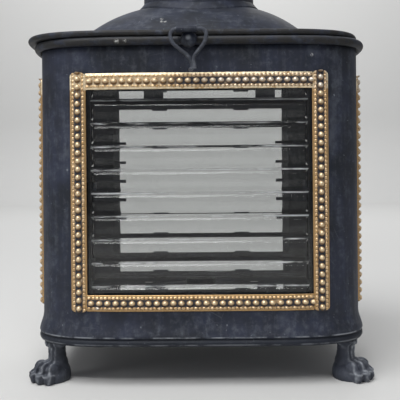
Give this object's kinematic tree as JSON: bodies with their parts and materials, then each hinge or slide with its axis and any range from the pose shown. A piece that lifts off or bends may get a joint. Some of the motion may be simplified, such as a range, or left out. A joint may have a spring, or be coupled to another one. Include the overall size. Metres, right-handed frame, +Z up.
{
  "type": "lantern",
  "caption": "Sheet-metal candle lantern with trimmed windows, ribbed front glass, hinged domed lid with chimney, wire hasp and lion-paw feet.",
  "frame": {"origin": "on the ground, under the middle of the body", "axes": "+Z up, the front with the hasp faces -Y, +X to the right as seen from the front"},
  "size_m": [0.2568, 0.1989, 0.3706],
  "materials": {
    "zinc_sheet": "aged dark grey-blue coat with whitish bloom",
    "cast_iron_grey": "cast, dark grey coat, dusty on the ridges",
    "brass_trim": "pressed brass strip, dark in the hollows, bright on the beads",
    "ribbed_glass": "thick pressed glass with level flutes",
    "window_glass": "plain old window glass",
    "bare_steel": "dull steel"
  },
  "bodies": {
    "case": {"body_shell": "zinc_sheet", "body_rim_wire": "bare_steel", "base_plate": "zinc_sheet", "foot_front_left": "cast_iron_grey", "foot_front_right": "cast_iron_grey", "foot_back_left": "cast_iron_grey", "foot_back_right": "cast_iron_grey", "foot_nuts": "bare_steel", "front_trim_top": "brass_trim", "front_trim_bottom": "brass_trim", "front_trim_left": "brass_trim", "front_trim_right": "brass_trim", "back_trim_top": "brass_trim", "back_trim_bottom": "brass_trim", "back_trim_left": "brass_trim", "back_trim_right": "brass_trim", "left_trim_top": "brass_trim", "left_trim_bottom": "brass_trim", "left_trim_front": "brass_trim", "left_trim_back": "brass_trim", "right_trim_top": "brass_trim", "right_trim_bottom": "brass_trim", "right_trim_front": "brass_trim", "right_trim_back": "brass_trim", "front_glass": "ribbed_glass", "back_glass": "window_glass", "left_glass": "window_glass", "right_glass": "window_glass", "front_glass_tabs": "zinc_sheet", "back_glass_tabs": "zinc_sheet", "left_glass_tabs": "zinc_sheet", "right_glass_tabs": "zinc_sheet", "candle_pan": "zinc_sheet", "candle_socket": "zinc_sheet", "candle_rivet": "bare_steel", "hasp_knob": "cast_iron_grey", "hinge_body_leaf": "zinc_sheet", "hinge_pin": "bare_steel", "hinge_body_rivets": "bare_steel"},
    "lid": {"lid_dome": "zinc_sheet", "lid_rim_wire": "bare_steel", "lid_skirt": "zinc_sheet", "chimney": "zinc_sheet", "chimney_collar": "zinc_sheet", "cap_straps": "zinc_sheet", "vent_cap": "zinc_sheet", "ring_lug": "zinc_sheet", "hinge_lid_leaf": "zinc_sheet", "hinge_lid_rivets": "bare_steel", "hasp_tab": "zinc_sheet"},
    "hasp": {"hasp_loop": "cast_iron_grey"},
    "ring": {"carry_ring": "cast_iron_grey"}
  },
  "joints": [
    {"name": "lid_hinge", "type": "hinge", "parent": "case", "child": "lid", "pos_m": [0, 0.0952, 0.24695], "axis": [-1, 0, 0], "range_deg": [0, 110]},
    {"name": "hasp_swing", "type": "hinge", "parent": "lid", "child": "hasp", "pos_m": [-0.0065, -0.0981, 0.2497], "axis": [-1, 0, 0], "range_deg": [-15, 240]},
    {"name": "ring_swing", "type": "hinge", "parent": "lid", "child": "ring", "pos_m": [0, 0, 0.3653], "axis": [1, 0, 0], "range_deg": [0, 226]}
  ]
}
